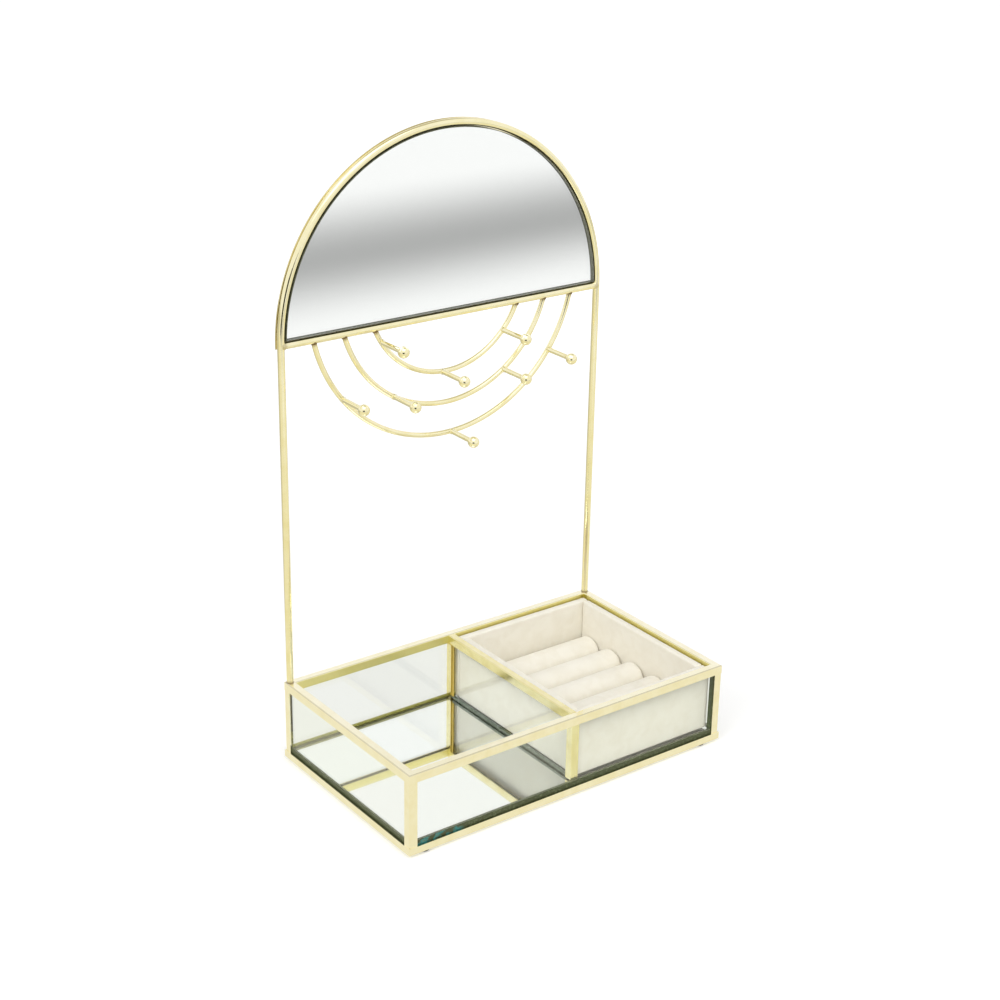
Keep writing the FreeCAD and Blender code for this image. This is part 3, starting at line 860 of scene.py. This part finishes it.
class STAND_OT_ball_hooks(bpy.types.Operator):
    """Makes each hook: a stem soldered to its arc, with a ball on its end."""

    bl_idname = "stand.ball_hooks"
    bl_label = "Ball hooks"

    def execute(self, context):
        sizes = context.scene.stand_sizes
        ball = sizes.ball / 2
        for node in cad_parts:
            if not node.startswith("hook_stem_"):
                continue
            label = node.removeprefix("hook_stem_")
            centre, half = middle(node)
            arc_centre, arc_half = middle("hanger_arc_" + label.split("_")[0])
            gauge, root, stem = arc_half[1], arc_centre[1], half[0]
            reach = root - middle("hook_ball_" + label)[0][1]
            mouth = math.asin(stem / ball)
            turn = np.linspace(mouth, np.pi - sizes.ball_tip, ball_rings)
            along = np.linspace(gauge / 2, reach - ball * math.cos(mouth), stem_rings)[:-1]
            thick = stem + flare(np.maximum(along - gauge, 0), sizes.solder)
            steps = np.r_[along, reach - ball * np.cos(turn)]
            radii = np.r_[thick, ball * np.sin(turn)]
            hook = turned(steps, radii, np.array([centre[0], root, centre[2]]), -backwards)
            replaced = [node, "hook_ball_" + label]
            add_piece("ball_hook_" + label, "stand", hook, ["rod"], replaced)
        return {"FINISHED"}


class STAND_OT_feet(bpy.types.Operator):
    """Makes the four bumper feet as one piece."""

    bl_idname = "stand.feet"
    bl_label = "Bumper feet"

    def execute(self, context):
        sizes = context.scene.stand_sizes
        low, high = span("bumper_feet")
        bevel = sizes.foot_bevel
        radius = sizes.foot / 2
        turn = quarter(foot_rings)
        steps = np.r_[bevel * (1 - np.cos(turn)), high[2] - low[2]]
        radii = np.r_[radius - bevel * (1 - np.sin(turn)), radius]
        feet = [
            turned(steps, radii, np.array([x, y, low[2]]), upwards)
            for x in (low[0] + radius, high[0] - radius)
            for y in (low[1] + radius, high[1] - radius)
        ]
        add_piece("bumper_foot_set", "stand", joined(feet), ["rubber"], ["bumper_feet"])
        return {"FINISHED"}


class STAND_OT_velvet_walls(bpy.types.Operator):
    """Makes the velvet-covered walls of the lift-out insert."""

    bl_idname = "stand.velvet_walls"
    bl_label = "Velvet walls"

    def execute(self, context):
        sizes = context.scene.stand_sizes
        for i, side in enumerate(sides):
            node = "insert_wall_" + side
            low, high = span(node)
            rings = soft_bar(low + sizes.hairline, high - sizes.hairline, i % 2, sizes.velvet_edge)
            if side == "left":
                inner = (rings[:, :, 0] - low[0]) / (high[0] - low[0])
                back = np.clip((rings[:, :, 1] - low[1]) / (high[1] - low[1]), 0, 1)
                rings[:, :, 0] += sizes.wall_swell * inner * back
            add_piece("velvet_wall_" + side, "ring_insert", skin(rings), ["card"], [node])
        return {"FINISHED"}


class STAND_OT_ring_rolls(bpy.types.Operator):
    """Makes the padded ring rolls: cut a little small, then blown up as cloth."""

    bl_idname = "stand.ring_rolls"
    bl_label = "Ring rolls"

    def execute(self, context):
        sizes = context.scene.stand_sizes
        rolls = []
        for node in sorted(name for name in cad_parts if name.startswith("ring_roll_")):
            label = node.removeprefix("ring_roll_")
            pad = skin(roll_rings(*span(node), sizes))
            roll = add_piece("velvet_roll_" + label, "ring_insert", pad, ["foam"], [node])
            rolls.append(roll)
        stuff(rolls, sizes.roll_slack)
        for roll in rolls:
            soft = roll.modifiers.new("soft", "SUBSURF")
            soft.levels = 1
            soft.render_levels = 1
        return {"FINISHED"}


def heading(turn, rise):
    """Direction to the front, turned about Z and raised."""
    level = math.cos(rise)
    return np.array([math.sin(turn) * level, -math.cos(turn) * level, math.sin(rise)])


def aim(holder, place, back, roll=0.0):
    """Stands a lamp or a camera at a place, so that it looks against the direction of its back.
    Its right side is level, and then tilted by the roll."""
    level = np.cross(upwards, back)
    level /= np.linalg.norm(level)
    right = math.cos(roll) * level + math.sin(roll) * np.cross(back, level)
    axes = np.stack([right, np.cross(back, right), back], axis=-1)
    holder.matrix_world = Matrix.Translation(place) @ Matrix(axes.tolist()).to_4x4()


def sheet(name, corners, material):
    """Flat sheet between four corners."""
    mesh = bpy.data.meshes.new(name)
    mesh.from_pydata(corners.tolist(), [], [(0, 1, 2, 3)])
    mesh.materials.append(material)
    return put(name, mesh)


def sheet_floor(stage):
    """White paper floor. It takes the stand's shadow. The camera sees it lifted to white, and
    glass sees it a little duller. Mirrors and metal see it with a soft grey card in front of
    the stand and a duller stretch behind."""
    material = bpy.data.materials.new("matt_white_paper")
    add = emptied(material)
    material.cycles.emission_sampling = "NONE"
    light = add("LightPath").outputs
    place = add("TexCoord").outputs["Object"]
    across = add("SeparateXYZ", (place,)).outputs["Y"]
    begin, end = -stage.band_far, stage.band_near
    share = add("MapRange", {"Value": across, "From Min": begin, "From Max": end})
    tones = (
        (begin, white),
        (end, stage.behind),
        (-stage.band_middle, stage.band),
        (-stage.band_near, white),
        (-stage.near_front, stage.near),
        (stage.near_back, stage.near),
        (stage.behind_front, stage.behind),
    )
    stops = [((y - begin) / (end - begin), tone) for y, tone in tones]
    card = add("ValToRGB", (share,), stops=stops)
    card.color_ramp.interpolation = "EASE"
    paper = add("BsdfDiffuse", {"Color": stage.paper})
    away = add("VectorMath", (place,), operation="LENGTH").outputs["Value"]
    stretch = {"Value": away, "From Min": stage.glow_start, "From Max": stage.glow_end}
    level = add("MapRange", {**stretch, "To Min": stage.floor_glow, "To Max": stage.far_glow})
    lift = add("Math", (light["Is Camera Ray"], level), operation="MULTIPLY")
    glow = add("Emission", {"Color": white, "Strength": lift})
    seen = add("AddShader", (paper, glow))
    plain = add("Emission", {"Color": stage.through, "Strength": 1.0})
    mirrored = add("Emission", {"Color": card, "Strength": 1.0})
    bounced = add("MixShader", (light["Glossy Depth"], plain, mirrored))
    either = add("Math", (light["Is Glossy Ray"], light["Is Transmission Ray"]), operation="MAXIMUM")
    mixed = add("MixShader", (either, seen, bounced))
    add("OutputMaterial", {"Surface": mixed})
    corners = np.array([[-1, -1, 0], [1, -1, 0], [1, 1, 0], [-1, 1, 0]])
    floor = sheet("paper_floor", stage.floor_size / 2 * corners, material)


def dark_card(stage):
    """Upright dark card behind the camera, square to its view. Only polished metal shows it."""
    material = bpy.data.materials.new("matt_dark_card")
    add = emptied(material)
    dark = add("Emission", {"Color": stage.dark, "Strength": 1.0})
    gone = add("BsdfTransparent")
    passed = add("LightPath").outputs["Is Transmission Ray"]
    mixed = add("MixShader", (passed, dark, gone))
    add("OutputMaterial", {"Surface": mixed})
    away = heading(stage.azimuth, 0.0)
    foot = stage.card_away * away
    reach = stage.card_width / 2 * np.cross(upwards, away)
    rise = stage.card_height * upwards
    corners = np.stack([foot - reach, foot + reach, foot + reach + rise, foot - reach + rise])
    card = sheet("dark_card", corners, material)
    for ray in ("camera", "diffuse", "transmission", "shadow"):
        setattr(card, "visible_" + ray, False)


def white_room(stage):
    """World of even light. The camera, glass and mirrors see it white, and bare metal sees a
    duller ceiling behind the stand."""
    world = bpy.data.worlds.new("white_room")
    bpy.context.scene.world = world
    add = emptied(world)
    light = add("LightPath").outputs
    glossy, passed = light["Is Glossy Ray"], light["Is Transmission Ray"]
    first = add("Math", (light["Is Camera Ray"], glossy), operation="MAXIMUM")
    seen = add("Math", (first, passed), operation="MAXIMUM")
    level = add("MapRange", {"Value": seen, "To Min": stage.world_light, "To Max": 1.0})
    ahead = heading(stage.azimuth + math.pi, stage.ceiling_rise).tolist()
    way = add("TexCoord").outputs["Generated"]
    near = add("VectorMath", (way, ahead), operation="DOT_PRODUCT").outputs["Value"]
    share = add("MapRange", {"Value": near, "From Min": stage.ceiling_edge, "From Max": stage.ceiling_core})
    bare = add("Math", (glossy, passed), operation="GREATER_THAN")
    share = add("Math", (share, bare), operation="MULTIPLY")
    tone = add("MixRGB", {"Fac": share, "Color1": white, "Color2": stage.ceiling})
    sky = add("Background", {"Color": tone, "Strength": level})
    add("OutputWorld", {"Surface": sky})


def soft_lamp(name, place, side, power, shown):
    """Square soft lamp that faces the middle of the stand. Shown says if metal mirrors it."""
    lamp = bpy.data.lights.new(name, "AREA")
    lamp.size = side
    lamp.energy = power
    holder = put(name, lamp)
    holder.visible_glossy = shown
    back = np.array(place) - np.mean(cad_box, axis=0)
    aim(holder, place, back / np.linalg.norm(back))


class STAND_OT_stage(bpy.types.Operator):
    """Lays the floor, sets the world, the lamps and the camera."""

    bl_idname = "stand.stage"
    bl_label = "Stage"

    def execute(self, context):
        scene = context.scene
        stage = scene.stand_stage
        scene.view_settings.view_transform = "Standard"
        sheet_floor(stage)
        dark_card(stage)
        white_room(stage)
        for lamp, (place, side) in lamps.items():
            soft_lamp(lamp + "_lamp", place, side, getattr(stage, lamp + "_power"), lamp == "top")
        camera = bpy.data.cameras.new("photo_camera")
        camera.lens = stage.lens
        camera.clip_start = 10 * mm
        scene.camera = put("photo_camera", camera)
        aim(scene.camera, stage.eye, heading(stage.azimuth, stage.elevation), stage.roll)
        return {"FINISHED"}


makers = (
    STAND_OT_strip_frame,
    STAND_OT_glass_panes,
    STAND_OT_mirrors,
    STAND_OT_arch_rods,
    STAND_OT_hanging_arcs,
    STAND_OT_ball_hooks,
    STAND_OT_feet,
    STAND_OT_velvet_walls,
    STAND_OT_ring_rolls,
    STAND_OT_stage,
)
groups = {"stand_sizes": StandSizes, "stand_colours": StandColours, "stand_stage": StandStage}


class STAND_PT_sidebar(bpy.types.Panel):
    """Lists the sizes, the colours, the stage and the steps that make the stand."""

    bl_idname = "STAND_PT_sidebar"
    bl_label = "Jewellery stand"
    bl_space_type = "VIEW_3D"
    bl_region_type = "UI"
    bl_category = "Stand"

    def draw(self, context):
        for name, group in groups.items():
            column = self.layout.column()
            for key in group.__annotations__:
                column.prop(getattr(context.scene, name), key)
        for maker in makers:
            self.layout.operator(maker.bl_idname)


def register():
    for part in (*groups.values(), *makers, STAND_PT_sidebar):
        bpy.utils.register_class(part)
    for name, group in groups.items():
        setattr(bpy.types.Scene, name, bpy.props.PointerProperty(type=group))


def unregister():
    for name in groups:
        delattr(bpy.types.Scene, name)
    for part in (STAND_PT_sidebar, *reversed(makers), *reversed(groups.values())):
        bpy.utils.unregister_class(part)


def main():
    register()
    for maker in makers:
        family, step = maker.bl_idname.split(".")
        getattr(getattr(bpy.ops, family), step)()


if __name__ == "__main__":
    main()
